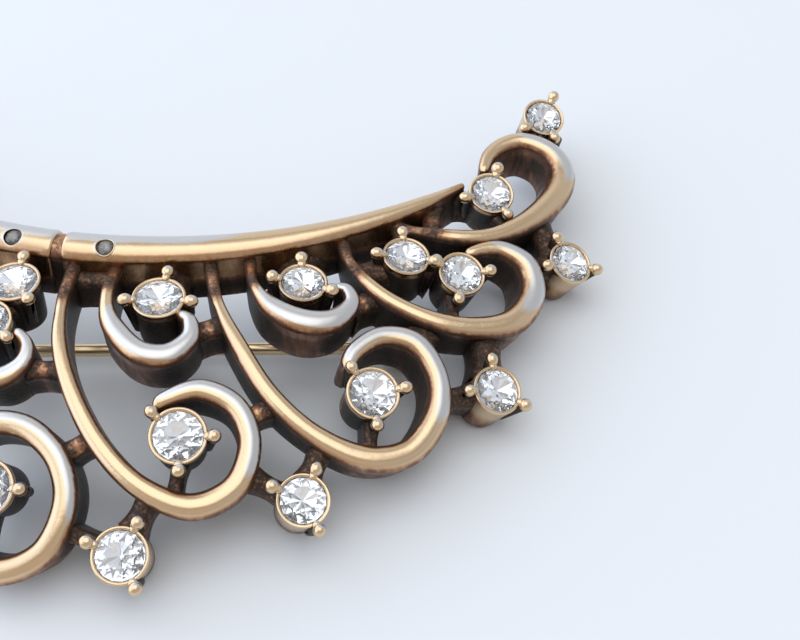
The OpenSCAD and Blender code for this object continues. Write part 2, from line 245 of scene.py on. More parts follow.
section = section_object()
print("section:", len(section.data.vertices), "points")

# %% [markdown]
# ## A tree that sweeps the section
# Curve to Mesh sweeps a profile along a curve and hands the attributes of both to the new
# mesh. That is the trick of this tree: the swept shape itself doesn't matter, because Set
# Position then works out each point from the attributes. So the walls stay square to the arch
# and keep their depth, while the width changes along the barb.

# %% Helpers for node trees
def new_tree(name, inputs):
    """Geometry tree with a geometry socket on both sides and the named inputs."""
    tree = bpy.data.node_groups.new(name, "GeometryNodeTree")
    tree.interface.new_socket("Geometry", in_out="INPUT", socket_type="NodeSocketGeometry")
    for label, kind, value in inputs:
        socket = tree.interface.new_socket(label, in_out="INPUT", socket_type="NodeSocket" + kind)
        if value is not None:
            socket.default_value = value
    tree.interface.new_socket("Geometry", in_out="OUTPUT", socket_type="NodeSocketGeometry")
    return tree, tree.nodes.new("NodeGroupInput"), tree.nodes.new("NodeGroupOutput")


def feed(tree, node, inputs):
    """Fills sockets, by name or number. A node stands for its own first output."""
    for key, value in dict(inputs).items():
        socket = node.inputs[key]
        if isinstance(value, bpy.types.Node):
            value = value.outputs[0]
        if isinstance(value, bpy.types.NodeSocket):
            tree.links.new(value, socket)
        else:
            socket.default_value = (*value, 1) if socket.type == "RGBA" else value
    return node


def wire(tree, kind, inputs=(), **settings):
    """New node with its settings and inputs."""
    node = tree.nodes.new(kind)
    for key, value in settings.items():
        setattr(node, key, value)
    return feed(tree, node, inputs)


def named(tree, field, kind="FLOAT"):
    """Output of a Named Attribute node."""
    return wire(tree, "GeometryNodeInputNamedAttribute", {"Name": field},
                data_type=kind).outputs["Attribute"]


def math_of(tree, operation, a, b):
    return wire(tree, "ShaderNodeMath", {0: a, 1: b}, operation=operation)


def times(tree, a, b):
    return math_of(tree, "MULTIPLY", a, b)


def plus(tree, a, b):
    return math_of(tree, "ADD", a, b)


def minus(tree, a, b):
    return math_of(tree, "SUBTRACT", a, b)


def scaled(tree, vector, by):
    return wire(tree, "ShaderNodeVectorMath", {0: vector, "Scale": by}, operation="SCALE")


def vector_math(tree, operation, a, b):
    return wire(tree, "ShaderNodeVectorMath", {0: a, 1: b}, operation=operation)


def coated(tree, geometry, material, faces=True):
    """Geometry with a material on the chosen faces."""
    return wire(tree, "GeometryNodeSetMaterial",
                {"Geometry": geometry, "Selection": faces, "Material": material})


# %% The band tree
# Height of the half round as a share of the width, and depth of the walls
CROWN_SHARE, WALL_DEPTH = 0.42, 2.7


def band_tree():
    tree, given, out = new_tree("Band on the arch", [
        ("Section", "Object", None), ("Crown share", "Float", CROWN_SHARE),
        ("Wall depth", "Float", WALL_DEPTH * MM), ("Material", "Material", None)])
    centre = wire(tree, "GeometryNodeStoreNamedAttribute",
                  {"Geometry": given, "Name": "centre",
                   "Value": wire(tree, "GeometryNodeInputPosition")},
                  data_type="FLOAT_VECTOR", domain="POINT")
    path = wire(tree, "GeometryNodeMeshToCurve", {"Mesh": centre})
    shape = wire(tree, "GeometryNodeObjectInfo", {"Object": given.outputs["Section"]})
    profile = wire(tree, "GeometryNodeMeshToCurve", {"Mesh": shape.outputs["Geometry"]})
    swept = wire(tree, "GeometryNodeCurveToMesh",
                 {"Curve": path, "Profile Curve": profile, "Fill Caps": True})
    width, depth = named(tree, "width"), named(tree, "depth")
    sideways = times(tree, times(tree, named(tree, "side"), width), 0.5)
    crown = times(tree, times(tree, named(tree, "crown"), width), given.outputs["Crown share"])
    sunk = times(tree, named(tree, "sink"), minus(tree, 1.0, depth))
    down = plus(tree, times(tree, depth, given.outputs["Wall depth"]), sunk)
    height = minus(tree, crown, down)
    across, up = named(tree, "across", "FLOAT_VECTOR"), named(tree, "up", "FLOAT_VECTOR")
    offset = vector_math(tree, "ADD", scaled(tree, across, sideways), scaled(tree, up, height))
    place = vector_math(tree, "ADD", named(tree, "centre", "FLOAT_VECTOR"), offset)
    moved = wire(tree, "GeometryNodeSetPosition", {"Geometry": swept, "Position": place})
    solid = wire(tree, "GeometryNodeRealizeInstances", {"Geometry": moved})
    feed(tree, out, {0: coated(tree, solid, given.outputs["Material"])})
    return tree


BAND = band_tree()
print("band tree:", len(BAND.nodes), "nodes")

# %% [markdown]
# ## From a tree to a plain mesh
# An exported model can't carry a node tree, so each piece is worked out once and kept as a
# plain mesh. Its faces are turned outwards, because a backbone may have been read from either
# end, and edges sharper than 40 degrees stay sharp.

# %% Work out a piece
SHARP = 40


def worked_out(obj):
    """The mesh that an object's modifiers give."""
    graph = bpy.context.evaluated_depsgraph_get()
    return bpy.data.meshes.new_from_object(obj.evaluated_get(graph),
                                           preserve_all_data_layers=True, depsgraph=graph)


def plain_mesh(obj, tree, sharp=SHARP, **values):
    """Runs the tree on obj with the given inputs and keeps the result as obj's own mesh."""
    modifier = obj.modifiers.new(tree.name, "NODES")
    modifier.node_group = tree
    for item in tree.interface.items_tree:
        if item.in_out == "INPUT" and item.name in values:
            modifier[item.identifier] = values[item.name]
    mesh = worked_out(obj)
    obj.modifiers.remove(modifier)
    obj.data = mesh
    turn_outwards(mesh, sharp)
    print(obj.name, len(mesh.polygons), "faces")
    return obj


def turn_outwards(mesh, sharp):
    shell = bmesh.new()
    shell.from_mesh(mesh)
    bmesh.ops.recalc_face_normals(shell, faces=shell.faces)
    shell.to_mesh(mesh)
    shell.free()
    mesh.shade_smooth()
    mesh.set_sharp_from_angle(angle=math.radians(sharp))


# %% [markdown]
# ## The plating
# The brooch is plated in a pale gold and then antiqued: dark lacquer is brushed on and wiped
# off the tops, so it stays in the walls and recesses, where its darkness also stands in for
# painted shade. On the curls, the hooks and the back of the spine, faces that turn up and back
# to the right are painted as pale white metal: partly gold rubbed down by handling, partly a
# painted reflection of the pale room. All of this follows from attributes. `depth` and `side`
# find the walls and edges, a darkening value the stretches that are painted dark, a measured
# occlusion the corners where painted shade goes, and a limit how far a face has to turn that
# way before it is painted pale.

# %% Helpers for materials
def ramp(tree, value, stops):
    """Colour ramp; stops are (position, colour)."""
    node = wire(tree, "ShaderNodeValToRGB", {"Fac": value})
    while len(node.color_ramp.elements) < len(stops):
        node.color_ramp.elements.new(0.5)
    for element, (position, colour) in zip(node.color_ramp.elements, stops):
        element.position = position
        element.color = (*colour, 1)
    return node


def fade(tree, value, low, high, start=0.0, end=1.0):
    """Soft step of a value between two limits."""
    return wire(tree, "ShaderNodeMapRange",
                {"Value": value, "From Min": low, "From Max": high, "To Min": start,
                 "To Max": end}, interpolation_type="SMOOTHSTEP")


def mixed(tree, share, a, b):
    """Colour b over colour a; its sockets for colours are the ones from number 6."""
    return wire(tree, "ShaderNodeMix", {0: share, 6: a, 7: b}, data_type="RGBA").outputs[2]


def noise(tree, scale, detail=3.0, roughness=0.55, flat=1.0):
    """Noise in a piece's own space; a small value of flat draws it out along Z."""
    place = wire(tree, "ShaderNodeTexCoord").outputs["Object"]
    drawn = vector_math(tree, "MULTIPLY", place, (1, 1, flat))
    return wire(tree, "ShaderNodeTexNoise", {"Vector": drawn, "Scale": scale,
                                             "Detail": detail, "Roughness": roughness})


def carried(tree, field):
    """Value of a piece's own attribute."""
    return wire(tree, "ShaderNodeAttribute", attribute_name=field).outputs["Fac"]


def new_material(name, constants):
    """Material with the given constants on its shader's own sockets."""
    material = bpy.data.materials.new(name)
    material.use_nodes = True
    tree = material.node_tree
    return material, tree, feed(tree, tree.nodes["Principled BSDF"], constants)


# %% Worn gold plate
GOLD = (0.70, 0.52, 0.325)
# Pale white metal, which stands for worn plating and for a painted reflection of the pale room
WHITE_METAL_SHEEN = (0.61, 0.615, 0.62)
# Which way the faces look that are painted pale: worn white metal and a painted reflection of the
# pale room
WEAR_SHEEN_FACING = Vector((0.42, 0.5, 0.76)).normalized()
# From a trace of lacquer over the gold to a thick black coat; the dark end also serves as painted
# shade in walls, recesses and along the edges
LACQUER_AND_SHADE = [(0.0, GOLD), (0.2, (0.48, 0.28, 0.15)), (0.4, (0.20, 0.095, 0.058)),
           (0.65, (0.050, 0.032, 0.022)), (1.0, (0.018, 0.013, 0.010))]


def worn_shaded_plate():
    material, tree, metal = new_material("worn_shaded_gold_plate", {"Specular IOR Level": 0.2})
    depth, shelter = carried(tree, "depth"), carried(tree, "shelter")
    normal = wire(tree, "ShaderNodeNewGeometry").outputs["Normal"]
    toward_wear_sheen = vector_math(tree, "DOT_PRODUCT", normal, tuple(WEAR_SHEEN_FACING)).outputs["Value"]
    patches = noise(tree, 800)
    fine = noise(tree, 5000, 4)
    # Streaks like marks of a brush that went down the walls
    streaks = noise(tree, 2600, roughness=0.5, flat=0.2)

    # The gold gives way to pale white metal where a face turns this way by more than its limit
    # says; this is partly wear and partly a painted reflection of the pale room
    slanted = times(tree, carried(tree, "side"), carried(tree, "slant"))
    past = minus(tree, toward_wear_sheen, plus(tree, carried(tree, "gilt"), slanted))
    ragged = times(tree, minus(tree, patches, 0.5), 0.1)
    wear_sheen = fade(tree, plus(tree, past, ragged), -0.06, 0.05)

    # The dark coat starts just below the shoulder, and lower down where the measured occlusion is
    # small; so besides the lacquer it is painted shade in walls and recesses.
    # Darkening below zero means a clean piece, whose walls stay gold for longer.
    sheltered = fade(tree, shelter, 0.1, 0.45, 0.5, 1.0)
    dark_from = fade(tree, shelter, 0.05, 0.4, 0.3, 0.12)
    clean = math_of(tree, "MAXIMUM", times(tree, carried(tree, "dirt"), -1.0), 0.0)
    wall = times(tree, sheltered, fade(
        tree, depth, minus(tree, clean, 0.02), plus(tree, dark_from, times(tree, clean, 2.0))))
    # A red-brown stain runs along the edges, partly tarnish and partly painted shade on the
    # rounded flanks of the bands, and the brush leaves specks where the darkening is high
    edge = fade(tree, math_of(tree, "ABSOLUTE", carried(tree, "side"), 0.0), 0.5, 1.0, 0, 0.6)
    edge = times(tree, edge, fade(tree, clean, 0.0, 0.3, 1.0, 0.45))
    edge_stain_shade = times(tree, edge, fade(tree, shelter, 0.0, 0.45, 0.7, 1.0))
    brushed = times(tree, carried(tree, "dirt"), fade(tree, fine, 0.36, 0.6, 0.6, 1))
    coat_and_shade = math_of(tree, "MAXIMUM", math_of(tree, "MAXIMUM", wall, edge_stain_shade), brushed)
    uneven = plus(tree, times(tree, minus(tree, patches, 0.5), 0.45),
                  times(tree, minus(tree, streaks, 0.5), 0.55))
    coat_and_shade = plus(tree, coat_and_shade, times(tree, uneven, fade(tree, coat_and_shade, 0.05, 0.4)))

    covered = fade(tree, coat_and_shade, 0.12, 0.4)
    coat_colour = ramp(tree, coat_and_shade, LACQUER_AND_SHADE)
    bare_wear_sheen = times(tree, wear_sheen, minus(tree, 1.0, covered))
    rough = plus(tree, fade(tree, coat_and_shade, 0.1, 0.7, 0.25, 0.5), times(tree, bare_wear_sheen, 0.1))
    pits = wire(tree, "ShaderNodeBump",
                {"Strength": fade(tree, coat_and_shade, 0.1, 0.8, 0.04, 0.6), "Distance": 0.00007,
                 "Height": fine})
    waves = wire(tree, "ShaderNodeBump", {"Strength": 0.35, "Distance": 0.00006,
                                          "Height": patches, "Normal": pits})
    feed(tree, metal, {"Base Color": mixed(tree, bare_wear_sheen, coat_colour, WHITE_METAL_SHEEN),
                       "Metallic": fade(tree, coat_and_shade, 0.3, 0.7, 1.0, 0.35),
                       "Roughness": rough, "Normal": waves})
    return material


plate = worn_shaded_plate()
print("material:", plate.name)

# %% [markdown]
# ## Scrolls, hooks and spine
# Now the bands themselves. The barbs dive under the spine at their roots, so the first stretch
# is sunk and painted dark. Pale white metal, partly wear and partly a painted reflection, begins
# where a barb turns up into its curl. The spine is two stretches with rounded ends and a neck
# between them.

# %% Lay out the bands
# Values of the limit for pale white metal, which is partly wear and partly painted reflection: at
# KEPT no face turns far enough to lose its gold
KEPT = 1.3
HALF_WEAR_SHEEN = 0.87
SPINE_WEAR_SHEEN = 0.80
CURL_WEAR_SHEEN = 0.56
HOOK_WEAR_SHEEN = (0.55, 0.3, 0.3)
# Shares of a barb's points: from where to where the gold thins out to pale worn metal and
# painted sheen, from where to where it goes, and where it starts to come back
SCROLL_TURNS = [(0.40, 0.5, 0.47, 0.64, 1)] * 3 + [
    (0.42, 0.52, 0.52, 0.66, 0.84), (0.38, 0.48, 0.48, 0.6, 0.7)]
HOOK_TURNS = (0.14, 0.2, 0.17, 0.32, 1)
# How much longer the gold lasts on the inner side of a curl than on the outer side, before it is
# painted pale
SCROLL_SLANT = 0.16
STEPS = 10
# Millimetres from the spine that stay dark, and values for that stretch
SCROLL_ROOT, HOOK_ROOT = 3.5, 2.8
ROOT_DARKENING, ROOT_SPECK, ROOT_SINK = 0.8, 0.42, 0.45
# Length over which a tip is rounded, and the share of the width at its very end
TIP_ROUND, TIP_SHARE = 0.5, 0.5
CLEAN = -0.3


def barb_line(rows, wear_sheen, turn, root):
    """Backbone of a barb with a rounded tip and a dark root."""
    line = smooth(rows, STEPS)
    count = len(line) - 1
    whole = sum(math.dist(a[:2], b[:2]) for a, b in zip(line, line[1:]))
    laid, length = [], 0
    for i, (x, y, width) in enumerate(line):
        t = i / count
        length += math.dist((x, y), line[max(i - 1, 0)][:2])
        near_tip = min(1, (whole - length) / TIP_ROUND)
        width *= TIP_SHARE + (1 - TIP_SHARE) * math.sqrt(1 - (1 - near_tip) ** 2)
        # The stretch next to the spine is painted dark, with a lighter gold patch a little
        # further out
        dirt = ROOT_DARKENING * (1 - step(root - 0.6, root + 0.6, length))
        dirt -= ROOT_SPECK * math.exp(-((length - root + 1.6) / 0.7) ** 2)
        gilt = KEPT + (HALF_WEAR_SHEEN - KEPT) * step(*turn[:2], t)
        gilt += (wear_sheen - HALF_WEAR_SHEEN) * step(*turn[2:4], t)
        gilt += (KEPT - wear_sheen) * step(turn[4], turn[4] + 0.12, t)
        laid.append((x, y, width, ROOT_SINK * (1 - step(0.5, root, length)), gilt, dirt))
    return laid


scrolls = backbone("scrolls", [
    barb_line(r, CURL_WEAR_SHEEN, turn, SCROLL_ROOT) for r, turn in zip(SCROLLS, SCROLL_TURNS)])
hooks = backbone("hooks", [
    barb_line(r, wear_sheen, HOOK_TURNS, HOOK_ROOT) for r, wear_sheen in zip(HOOKS, HOOK_WEAR_SHEEN)])

# The dressed spine is a trace wider than the solid, on the side of the barbs
SPINE_W = 2.45
SPINE_R = BOW_R + 0.1
# Angle along the bow, and the share of the full width there
SPINE = [(-60, 0.35), (-50, 0.66), (-38, 0.85), (-25, 0.96), (-10, 1), (0, 0.98), (10, 0.88),
         (20, 0.73), (28, 0.56), (34, 0.4), (39.5, 0.16)]
GROOVE, GROOVE_HALF = -8.8, 0.56
# Share of the width at the ends of the two stretches
END_SHARE = 0.86


def spine_width(angle):
    for (a, wa), (b, wb) in zip(SPINE, SPINE[1:]):
        if angle <= b:
            return SPINE_W * (wa + (wb - wa) * (angle - a) / (b - a))
    return SPINE_W * SPINE[-1][1]


def spine_point(angle, share=1.0, sink=0.0):
    """Row of the spine's backbone, painted less pale towards the right and darker at its right
    end.
    """
    a = math.radians(angle)
    gilt = SPINE_WEAR_SHEEN + 0.5 * step(5, 25, angle)
    return (SPINE_R * math.sin(a), BOW_R - SPINE_R * math.cos(a), spine_width(angle) * share,
            sink, gilt, CLEAN + step(33, 40, angle) * 0.6)


def spine_line(start, end, edge=0.4, spacing=0.5):
    """Stretch of the spine whose ends are rounded over `edge` degrees."""
    count = round((end - start - 2 * edge) / spacing)
    rounding = [edge * (1 - math.cos(math.radians(k * 15))) for k in range(6)]
    angles = [start + turn for turn in rounding]
    angles += [start + edge + (end - start - 2 * edge) * k / count for k in range(count + 1)]
    angles += [end - turn for turn in reversed(rounding)]
    line = []
    for angle in angles:
        near = min(1, min(angle - start, end - angle) / edge)
        share = END_SHARE + (1 - END_SHARE) * math.sqrt(1 - (1 - near) ** 2)
        line.append(spine_point(angle, share))
    return line


spine = backbone("spine", [
    spine_line(-60, GROOVE - GROOVE_HALF), spine_line(GROOVE + GROOVE_HALF, 39.5)])

for piece in (scrolls, hooks, spine):
    plain_mesh(piece, BAND, Section=section, Material=plate)
give(scrolls.data, slant=SCROLL_SLANT)

# %% [markdown]
# ## Bridges
# Short bars hold the barbs together. They lie a little lower than the barbs and are painted dark,
# and only a small nub in the middle of some of them catches the light.

# %% Bridges and nubs
# Both ends in plan, the width, and how far the top lies below the shoulder
BRIDGES = [
    (-2.7, -17.0, 0.2, -18.0, 1.0, 0.12), (2.1, -15.4, 1.1, -17.2, 1.4, 0.15),
    (7.4, -14.2, 9.6, -15.1, 1.3, 0.15), (11.4, -12.2, 10.5, -14.2, 1.4, 0.15),
    (17.6, -8.7, 20.0, -7.9, 1.3, 0.15), (20.9, -3.8, 21.0, -6.8, 1.9, 0.2),
    (24.4, 5.4, 25.6, 3.0, 1.8, 0.2), (23.6, 1.4, 25.0, 1.9, 1.6, 0.2),
    (23.8, 11.2, 24.6, 13.0, 1.0, 0.15), (25.6, 10.4, 26.0, 12.8, 0.9, 0.15),
    (-2.9, -13.5, -1.0, -12.4, 1.2, 0.1), (6.8, -11.4, 8.5, -10.3, 1.2, 0.1),
    (3.6, -6.1, 5.6, -5.2, 1.3, 0.15), (12.6, -3.7, 14.0, -2.6, 1.3, 0.15),
    (16.4, -6.2, 17.2, -4.1, 2.0, 0.25), (17.5, 5.4, 17.6, 2.6, 1.3, 0.3),
    (-5.5, -8.5, -3.2, -8.6, 1.2, 0.15), (-7.0, -16.0, -7.4, -18.4, 0.9, 0.35),
    (3.6, -13.6, 3.3, -15.6, 0.9, 0.35), (14.1, -10.4, 13.9, -12.5, 0.9, 0.35),
    (18.9, -1.7, 18.7, -3.9, 0.9, 0.35), (21.9, 5.0, 22.6, 3.8, 0.9, 0.35),
    (1.9, -3.0, 2.0, -0.6, 0.8, 0.3), (9.7, -1.4, 9.6, 1.1, 0.8, 0.3),
    (-6.8, -1.8, -6.7, 0.1, 0.8, 0.3), (15.7, 1.2, 15.3, 3.6, 0.8, 0.3),
    (14.6, 0.0, 12.8, -0.8, 1.7, 0.3), (19.0, 6.7, 20.4, 6.5, 0.9, 0.3),
    (-9.0, -5.6, -10.7, -5.1, 0.9, 0.3), (-4.0, -1.5, -1.2, -1.5, 1.2, 0.4),
    (17.6, -0.3, 17.0, 0.0, 1.0, 0.2), (-7.0, -4.3, -7.4, -4.9, 1.2, 0.2),
    (1.8, -2.6, 1.9, -0.4, 2.6, 0.5), (9.4, -1.4, 9.3, 0.9, 2.8, 0.5)]
WORN_BRIDGES = range(10, 17)
# The bridges are painted dark, except for a clean nub on some
BRIDGE_DARKENING, BRIDGE_SAG = 0.85, 0.12
FLARE, WAIST = 1.3, 0.38
NUB_CLEAN, NUB_LONG = 0.5, 0.11
# Share of the spine's width, sink and darkening of its neck
NECK_SHARE, NECK_SINK, NECK_DARKENING = 0.87, 0.04, 0.4


def bridge_line(x0, y0, x1, y1, width, top, worn=False, count=14):
    """Bar that flares into what it joins and sags a little, with a worn spot on some."""
    line = []
    for k in range(count + 1):
        t = k / count
        middle = math.sin(math.pi * t)
        broad = width * (FLARE - WAIST * middle)
        nub = worn * NUB_CLEAN * math.exp(-((t - 0.5) / NUB_LONG) ** 2)
        line.append((x0 + (x1 - x0) * t, y0 + (y1 - y0) * t, broad,
                     top + CROWN_SHARE * broad + BRIDGE_SAG * middle, KEPT, BRIDGE_DARKENING - nub))
    return line


neck = [spine_point(GROOVE + k * 0.25, NECK_SHARE, NECK_SINK)[:4] + (KEPT, NECK_DARKENING)
        for k in range(-4, 5)]
bridges = backbone("bridges", [
    bridge_line(*row, worn=k in WORN_BRIDGES) for k, row in enumerate(BRIDGES)] + [neck])
plain_mesh(bridges, BAND, Section=section, Material=plate)

# %% [markdown]
# ## Cups, prongs and stones on points
# The fifteen settings are all alike, so each part of a setting is made once and put on points
# by Geometry Nodes. A point carries its turn and its scale. Realize Instances makes the copies
# real, and the pattern itself is removed in the end.

# %% Places of the settings
# Name, x, y, rim diameter, lean towards -Y, and the angles of the three prongs
CUPS = [
    ("curl_0", -6.6, -15.0, 3.2, 0, (-3, -110, 133)),
    ("curl_1", 3.5, -12.5, 3.2, 0, (140, 0, -86)),
    ("curl_2", 13.9, -9.2, 3.1, 0, (14, -83, 132)),
    ("curl_3", 19.1, -0.6, 2.9, 6, (163, 12, -98)),
    ("curl_4", 21.2, 6.2, 2.9, 14, (76, -163, -57)),
    ("edge_1", 0.7, -18.2, 3.15, -8, (64, 158, -62)),
    ("edge_2", 10.2, -15.2, 3.0, -8, (70, 158, -61)),
    ("edge_3", 21.0, -7.7, 3.0, -2, (101, -170, -24)),
    ("edge_4", 26.0, 2.0, 2.9, 4, (120, -161, -6)),
    ("edge_5", 25.1, 13.8, 2.8, 14, (-142, -69, 66)),
    ("hook_0", -7.8, -5.9, 3.0, 0, (-39, -158, 98)),
    ("hook_1", 1.7, -4.2, 3.1, 0, (81, -170, -9)),
    ("hook_2", 9.8, -2.6, 2.9, 0, (96, 175, -19)),
    ("spine_0", -6.8, -3.0, 3.1, 0, (83, -52, -158)),
    ("spine_3", 15.8, 0.1, 2.9, 0, (98, -177, -7))]
RIM_RISE = 0.35
RIM_WALL = 0.2
STONE_GAP = 0.03
STONE_SUNK = 0.12
PATTERN_D = 3.0
BEAD_SPREAD = (0.9, 1.06)


def seat_axes(x, y, lean=0):
    """Directions of a setting on the arch, as the columns of a matrix."""
    n = Matrix.Rotation(math.radians(lean), 3, "X") @ facing(x, y)
    e = (Vector((1, 0, 0)) - n * n.x).normalized()
    return Matrix((e, n.cross(e), n)).transposed()


def points_object(name, spots):
    """Points with a turn and a scale; a spot is (place in plan, axes, scale)."""
    mesh = bpy.data.meshes.new(name)
    mesh.from_pydata([placed(place) for place, axes, scale in spots], [], [])
    turns = mesh.attributes.new("turn", "FLOAT_VECTOR", "POINT")
    sizes = mesh.attributes.new("size", "FLOAT_VECTOR", "POINT")
    for k, (place, axes, scale) in enumerate(spots):
        turns.data[k].vector = (SETTLE @ axes).to_euler()
        sizes.data[k].vector = scale
    return linked(name, mesh)


def on_points_tree():
    """Tree that puts a pattern on points. Faces marked second get the second material."""
    tree, given, out = new_tree("Pattern on points", [
        ("Pattern", "Object", None), ("Spin", "Float", 0.0), ("Seed", "Int", 1),
        ("Material", "Material", None), ("Second material", "Material", None)])
    pattern = wire(tree, "GeometryNodeObjectInfo",
                   {"Object": given.outputs["Pattern"], "As Instance": True})
    spin = wire(tree, "FunctionNodeRandomValue",
                {2: 0.0, 3: given.outputs["Spin"], "Seed": given.outputs["Seed"]},
                data_type="FLOAT")
    turned = wire(tree, "FunctionNodeEulerToRotation", {0: named(tree, "turn", "FLOAT_VECTOR")})
    about = wire(tree, "ShaderNodeCombineXYZ", {"Z": spin.outputs[1]})
    own = wire(tree, "FunctionNodeEulerToRotation", {0: about})
    both = wire(tree, "FunctionNodeRotateRotation", {0: turned, 1: own}, rotation_space="LOCAL")
    copies = wire(tree, "GeometryNodeInstanceOnPoints",
                  {"Points": given, "Instance": pattern.outputs["Geometry"],
                   "Rotation": both, "Scale": named(tree, "size", "FLOAT_VECTOR")})
    solid = wire(tree, "GeometryNodeRealizeInstances", {"Geometry": copies})
    first = coated(tree, solid, given.outputs["Material"])
    feed(tree, out, {0: coated(tree, first, given.outputs["Second material"],
                               named(tree, "second", "BOOLEAN"))})
    return tree


ON_POINTS = on_points_tree()
print("settings:", len(CUPS))

# %% [markdown]
# ## A cup and a prong
# A cup is turned on a lathe: a thin rim, a wall that narrows downwards and a seat inside. A
# prong is a rib up the outside of the cup with a bead on its end, which the setter pushes
# against the stone. Both carry the attributes that the plating reads.

# %% Patterns in metal
CUP_WEAR_SHEEN_LIMIT, PRONG_WEAR_SHEEN_LIMIT, COLLAR_WEAR_SHEEN_LIMIT = 0.97, 0.82, 0.7


def new_object(name, shell):
    """Object from a bmesh, which is freed."""
    mesh = bpy.data.meshes.new(name)
    bmesh.ops.recalc_face_normals(shell, faces=shell.faces)
    shell.to_mesh(mesh)
    shell.free()
    return linked(name, mesh)


def plated(obj, depth, gilt, material=plate):
    """Gives a piece its material and the values that the plating reads."""
    give(obj.data, depth=depth, gilt=gilt, dirt=0.0, side=0.0)
    obj.data.materials.append(material)
    return obj


def circle(radius, height, count, turn=0.0):
    """Corners of a level ring, turned by a share of the gap between two of them."""
    return [(radius * math.cos(math.tau * (k + turn) / count) * MM,
             radius * math.sin(math.tau * (k + turn) / count) * MM, height * MM)
            for k in range(count)]


def lathe(name, profile, segments=44):
    """Solid turned about Z; the profile is (radius, height, depth) and starts and ends at 0."""
    shell = bmesh.new()
    rings, depths = [], []
    for radius, height, depth in profile:
        count = segments if radius else 1
        rings.append([shell.verts.new(corner) for corner in circle(radius, height, count)])
        depths += [depth] * count
    for low, high in zip(rings, rings[1:]):
        for k in range(segments):
            corners = [low[k % len(low)], low[(k + 1) % len(low)],
                       high[(k + 1) % len(high)], high[k % len(high)]]
            shell.faces.new(list(dict.fromkeys(corners)))
    return plated(new_object(name, shell), depths, CUP_WEAR_SHEEN_LIMIT)


# Radius, height and depth of each ring, for a rim of 3 mm
CUP = [(0, -2.7, 1), (1.22, -2.7, 1), (1.3, -2.65, 0.97), (1.33, -2.5, 0.9), (1.38, -1.5, 0.6),
       (1.43, -0.5, 0.25), (1.46, -0.15, 0.05), (1.5, 0.12, 0), (1.51, 0.24, 0),
       (1.5, 0.31, 0), (1.455, 0.355, 0), (1.39, 0.36, 0), (1.335, 0.33, 0), (1.3, 0.26, 0),
       (1.29, 0.12, 0.02), (1.23, 0, 0.3), (0.3, -0.8, 1), (0, -0.85, 1)]
cup_pattern = lathe("cup_pattern", CUP)

BEAD_R, BEAD_OUT = 0.42, 0.34
RIB_R, RIB_LONG = 0.3, 1.8
CLAW_R, CLAW_IN = 0.31, 0.33


def at(x, y, z, stretch=(1, 1, 1)):
    """Matrix that stretches a shape and moves it to a place in millimetres."""
    return Matrix.Translation((x * MM, y * MM, z * MM)) @ Matrix.Diagonal((*stretch, 1))


def prong_pattern():
    """Bead over the origin, on a rib down the cup, with a small claw that laps the rim."""
    def ball(u, v, radius, matrix):
        bmesh.ops.create_uvsphere(shell, u_segments=u, v_segments=v, radius=radius * MM,
                                  matrix=matrix)

    shell = bmesh.new()
    ball(14, 8, RIB_R, at(0, 0, RIM_RISE + 0.02))
    bmesh.ops.create_cone(shell, cap_ends=True, segments=14, radius1=RIB_R * MM,
                          radius2=RIB_R * MM, depth=RIB_LONG * MM,
                          matrix=at(-0.5, 0, RIM_RISE - 1.6))
    # One skin round both, without the corners that lie inside it
    hull = bmesh.ops.convex_hull(shell, input=shell.verts)
    inside = hull["geom_interior"] + hull["geom_unused"]
    spare = dict.fromkeys(g for g in inside if isinstance(g, bmesh.types.BMVert))
    bmesh.ops.delete(shell, geom=list(spare), context="VERTS")
    ball(20, 12, BEAD_R, at(0.01, 0, RIM_RISE + 0.06, (1, 0.94, 0.92)))
    ball(16, 8, CLAW_R, at(-CLAW_IN, 0, RIM_RISE + 0.05, (1, 0.8, 0.55)))
    obj = new_object("prong_pattern", shell)
    return plated(obj, [step(0.0, 1.2, -v.co.z / MM) for v in obj.data.vertices], PRONG_WEAR_SHEEN_LIMIT)


bead_pattern = prong_pattern()
print("cup", len(cup_pattern.data.polygons), "faces, prong", len(bead_pattern.data.polygons))

# %% [markdown]
# ## A cut stone
# A rhinestone is cut like a small brilliant: a flat table, a crown of stars, kites and
# triangles, and a pointed back. The back is foiled, which is what makes cheap glass flash. So
# the crown is clear glass and the back faces are a mirror, in one closed mesh.

# %% Pattern of a stone
# Radius and height of the rings of corners, for a stone of radius 1
TABLE, MID, BACK = (0.56, 0.36), (0.80, 0.226), (0.5, -0.22)
GIRDLE, CULET = 0.03, -0.36


def stone_pattern():
    """Brilliant of radius 1 mm, with its girdle at height 0."""
    points = (circle(*TABLE, 8) + circle(*MID, 8, 0.5) + circle(1, GIRDLE, 16)
              + circle(1, -GIRDLE, 16) + circle(*BACK, 8, 0.5) + circle(0, CULET, 1))
    # First corner of the table, the mid ring, both sides of the girdle, the back, and the culet
    t, m, a, b, c, tip = 0, 8, 16, 32, 48, 56
    faces = [list(range(8))]
    for k in range(8):
        n = (k + 1) % 8
        faces += [[t + k, t + n, m + k], [t + n, m + k, a + 2 * n, m + n],
                  [m + k, a + 2 * k, a + 2 * k + 1], [m + k, a + 2 * k + 1, a + 2 * n]]
    faces += [[a + k, a + (k + 1) % 16, b + (k + 1) % 16, b + k] for k in range(16)]
    crown_faces = len(faces)
    for k in range(8):
        n = (k + 1) % 8
        faces += [[c + k, b + 2 * k, b + 2 * k + 1], [c + k, b + 2 * k + 1, b + 2 * n],
                  [tip, c + k, b + 2 * n, c + n]]
    mesh = bpy.data.meshes.new("stone_pattern")
    mesh.from_pydata(points, [], faces)
    foiled = mesh.attributes.new("second", "BOOLEAN", "FACE")
    foiled.data.foreach_set("value", [k >= crown_faces for k in range(len(faces))])
    mesh.materials.append(plate)
    return linked("stone_pattern", mesh)


